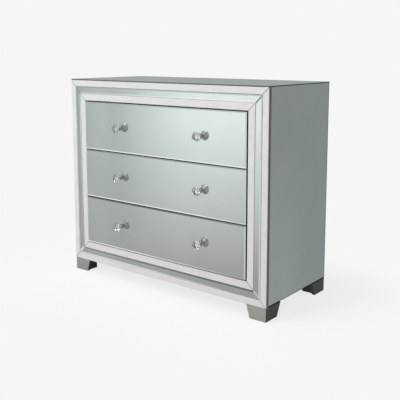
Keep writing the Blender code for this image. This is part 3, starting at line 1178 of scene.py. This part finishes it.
# Corners of the outline that the facets follow, as shares of the radius and of the depth
crystal_corner_shares = (
    (0.40, 0.00),
    (0.68, 0.27),
    (0.96, 0.55),
    (1.00, 0.64),
    (0.83, 0.87),
    (0.56, 1.00),
)
crystal_clear = (0.975, 0.985, 0.985)
crystal_index = 1.54
crystal_haze = (0.0, 0.03)
foiled_below = -0.3
foil_bright = (0.930, 0.935, 0.935)
foil_back = (0.74, 0.70, 0.71)
foil_worn = (0.63, 0.60, 0.61)
# The foil's values from behind and through the crystal
foil_shine = (0.5, 0.03)
foil_metal = (0.6, 1.0)


def lead_crystal():
    """Clear lead crystal, polished, with a breath of haze from handling."""
    material, tree, shader = new_material("lead_crystal", crystal_clear)
    shader.inputs["Transmission Weight"].default_value = 1.0
    shader.inputs["IOR"].default_value = crystal_index
    marks = placed(tree, mottle, Size=0.008, Cover=0.3)
    tree.links.new(between(tree, marks, *crystal_haze), shader.inputs["Roughness"])
    return material


def foil_behind():
    """Silver foil laid on the rear facets: bright through the crystal, dull from behind."""
    material, tree, shader = new_material("foil_behind", foil_back)
    worn = placed(tree, mottle, Size=0.004, Cover=0.35)
    rear = mixed_colour(tree, worn, foil_back, foil_worn)
    inside = tree.nodes.new("ShaderNodeNewGeometry").outputs["Backfacing"]
    coat(tree, shader, mixed_colour(tree, inside, rear, foil_bright), inside, foil_shine)
    tree.links.new(between(tree, inside, *foil_metal), shader.inputs["Metallic"])
    return material


blank = new_cone("blank", crystal_radius, crystal_radius, crystal_depth, turning_sides)
put_in_place(blank, (0, 0, crystal_depth))
edit(blank)
apothem_share = math.cos(math.pi / crystal_sides)
corners = [(r * crystal_radius, h * crystal_depth) for r, h in crystal_corner_shares]
for tier, (start, end) in enumerate(zip(corners, corners[1:])):
    rise = end[1] - start[1]
    run = end[0] - start[0]
    for number in range(crystal_sides):
        angle = 2 * math.pi * (number + (tier % 2) / 2) / crystal_sides
        around = Vector((math.cos(angle), math.sin(angle), 0))
        face_place = around * start[0] * apothem_share + Vector((0, 0, start[1]))
        slice_at(face_place, around * rise - Vector((0, 0, run)), keep_all=False)
end_edit()
round_edges(blank, crystal_edge, 1)
bpy.ops.object.shade_flat()
finish_with(blank, lead_crystal(), foil_behind())
for face in blank.data.polygons:
    face.material_index = int(face.normal.z < foiled_below)
give_each_knob(blank, "knob_head", "crystal", -knob_stem - seat_gap, "knob_crystal")
throw_away(cross_screw)


# Floor. The chest stands on a plain pale floor that keeps its soft shadow close to it and runs
# into the white background.
page_white = 0.922
floor_size = 60.0
floor_tone = 0.92
floor_roughness = 0.9
shadow_reach = 0.45
shadow_softening = 0.86
footprint = (0.477, 0.206, 0)


def seen_share(tree):
    """1 for what is seen straight, in a mirror or through glass, and 0 for light's other ways."""
    path = tree.nodes.new("ShaderNodeLightPath").outputs
    seen = arithmetic(tree, "MAXIMUM", path["Is Camera Ray"], path["Is Transmission Ray"])
    return arithmetic(tree, "MAXIMUM", seen, path["Is Glossy Ray"])


def show_light(tree, **inputs):
    """A surface that gives off light and nothing else."""
    return add_node(tree, "ShaderNodeEmission", inputs).outputs["Emission"]


def floor_cloth():
    """Pale floor that fades into the background away from the chest."""
    material, tree, shader = new_material("floor", (floor_tone,) * 3)
    shader.inputs["Roughness"].default_value = floor_roughness
    place = object_place(tree)
    from_middle = vector_step(tree, "ABSOLUTE", place)["Vector"]
    past = vector_step(tree, "SUBTRACT", from_middle, footprint)["Vector"]
    outside = vector_step(tree, "MAXIMUM", past, (0, 0, 0))["Vector"]
    away = vector_step(tree, "LENGTH", outside)["Value"]
    faded = ramp(tree, away, 0, shadow_reach, "SMOOTHSTEP")
    fade = between(tree, faded, shadow_softening, 1)
    share = arithmetic(tree, "MULTIPLY", seen_share(tree), fade)
    white = show_light(tree, Color=(page_white, page_white, page_white, 1))
    blend = add_node(
        tree, "ShaderNodeMixShader", {0: share, 1: shader.outputs["BSDF"], 2: white}
    )
    tree.links.new(blend.outputs["Shader"], tree.nodes["Material Output"].inputs["Surface"])
    return material


bpy.ops.object.select_all(action="DESELECT")
bpy.ops.mesh.primitive_plane_add(size=floor_size, location=(0, 0, 0))
floor = bpy.context.object
floor.name = "floor"
finish_with(floor, floor_cloth())
floor.visible_glossy = False
floor.visible_transmission = False
floor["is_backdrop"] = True


# Tent. A tent of grey cloth that only mirrors and glass show stands far around the chest. It is
# brighter to the left and has soft lights on it, and it is a little warm low down in front.
tent_radius = 14.0
tent_sides = 96
tent_middle_z = 0.4
tent_base = 0.36
tent_left_rise = 0.09
warm_cloth = (1.07, 0.97, 0.98)
warm_below = (-9, -20)
warm_azimuths = (-75, -60, 0, 30)
# Lights on the cloth: strength, then the azimuths and the elevations, in degrees, at which
# each starts, is full, starts to fade and ends. Azimuth 0 is straight in front of the chest,
# and a strength below 0 is a darker patch.
tent_lights = (
    (0.61, (-50, -37, -12, 10), (-20.5, -4.5, 3, 13)),
    (0.13, (-49.6, -48.4, -47.5, -45.5), (-24, -5, 8, 14)),
    (0.70, (-85, -65, -53.5, -50.3), (-19, -11, -5, 7)),
    (0.55, (42, 52, 70, 82), (-30, -20, 25, 40)),
    (0.35, (-130, -115, -95, -80), (-30, -10, 15, 35)),
    (0.45, (4, 12, 42, 60), (-35, -25, 30, 50)),
    (0.70, (-120, -80, 30, 70), (-53, -44, -34, -22)),
    (0.32, (-120, -80, 30, 70), (36, 46, 80, 89)),
    (0.05, (138, 144, 147, 150), (-28, -22, -18, -6)),
    (-0.22, (-75, -62, -15, 5), (10, 15, 18.5, 22.5)),
    (0.28, (-75, -60, 0, 20), (24, 29, 55, 75)),
)


def sine(degrees):
    return math.sin(math.radians(degrees))


def mask_between(tree, value, edges, kind="SMOOTHSTEP"):
    """1 between the middle two of four edges, and 0 outside the other two."""
    start, full, fading, end = edges
    rising = ramp(tree, value, start, full, kind)
    falling = ramp(tree, value, end, fading, kind)
    return arithmetic(tree, "MULTIPLY", rising, falling)


def tent_cloth():
    """Grey cloth under its lights, by the azimuth and the height of each place on it."""
    material, tree, _ = new_material("tent", (tent_base,) * 3)
    place = object_place(tree)
    parts = add_node(tree, "ShaderNodeSeparateXYZ", {"Vector": place}).outputs
    x = arithmetic(tree, "DIVIDE", parts["X"], tent_radius)
    y = arithmetic(tree, "DIVIDE", parts["Y"], -tent_radius)
    z = arithmetic(tree, "DIVIDE", parts["Z"], tent_radius)
    around = arithmetic(tree, "ARCTAN2", x, y)
    level = arithmetic(tree, "ADD", arithmetic(tree, "MULTIPLY", x, -tent_left_rise), tent_base)
    for strength, azimuths, elevations in tent_lights:
        across = mask_between(tree, around, map(math.radians, azimuths))
        upward = mask_between(tree, z, map(sine, elevations), "LINEAR")
        light = arithmetic(tree, "MULTIPLY", across, upward)
        level = arithmetic(tree, "ADD", level, arithmetic(tree, "MULTIPLY", light, strength))
    in_front = mask_between(tree, around, map(math.radians, warm_azimuths))
    low_down = ramp(tree, z, *map(sine, warm_below))
    warmth = arithmetic(tree, "MULTIPLY", low_down, in_front)
    colour = mixed_colour(tree, warmth, (1, 1, 1), warm_cloth)
    light = show_light(tree, Color=colour, Strength=level)
    tree.links.new(light, tree.nodes["Material Output"].inputs["Surface"])
    return material


bpy.ops.object.select_all(action="DESELECT")
bpy.ops.mesh.primitive_uv_sphere_add(
    segments=tent_sides, ring_count=tent_sides // 2, radius=tent_radius
)
tent = bpy.context.object
tent.name = "tent"
tent.location = (0, 0, tent_middle_z)
bpy.ops.object.shade_smooth()
finish_with(tent, tent_cloth())
tent.visible_camera = False
tent.visible_diffuse = False
tent.visible_volume_scatter = False
tent.visible_shadow = False
tent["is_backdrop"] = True


# Light. One large soft lamp hangs high in front on the left, a second over the top and a weak
# one on the right, and the white surroundings fill the rest.
world_fill = 0.28
lamp_aim = Vector((0, 0, 0.4))
# Each lamp: its place, its width, its power in watts, and whether mirrors and glass show it
lamps = {
    "key_lamp": ((-1.6, -3.2, 2.7), 2.0, 122, False),
    "top_lamp": ((-0.4, -1.2, 3.6), 1.4, 60, True),
    "side_lamp": ((3.6, 0.6, 2.4), 2.0, 8, False),
}

for name, (place, width, power, mirrored) in lamps.items():
    bpy.ops.object.light_add(type="AREA", location=place)
    lamp = bpy.context.object
    lamp.name = name
    lamp.data.size = width
    lamp.data.energy = power
    lamp.rotation_euler = (lamp_aim - Vector(place)).to_track_quat("-Z", "Y").to_euler()
    lamp.visible_glossy = mirrored
    lamp.visible_transmission = mirrored

world = bpy.data.worlds.new("studio")
bpy.context.scene.world = world
world.use_nodes = True
tree = world.node_tree
background = tree.nodes["Background"]
background.inputs["Color"].default_value = (1, 1, 1, 1)
strength = between(tree, seen_share(tree), world_fill, page_white)
tree.links.new(strength, background.inputs["Strength"])


# Camera. It stands to the right at a little over the height of the top and looks down at the
# chest, shifted so that the chest sits in the frame as it does in the photograph.
camera_place = (1.6524, -2.0274, 0.9063)
camera_dip = 8.069
camera_azimuth = 38.415
camera_lens = 60.67
camera_film = 36
camera_shift = -0.13

bpy.ops.object.camera_add(
    location=camera_place,
    rotation=(math.radians(90 - camera_dip), 0, math.radians(camera_azimuth)),
)
camera = bpy.context.object
camera.data.lens = camera_lens
camera.data.sensor_width = camera_film
camera.data.shift_y = camera_shift
bpy.context.scene.camera = camera
bpy.context.scene.view_settings.view_transform = "Standard"

low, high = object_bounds()
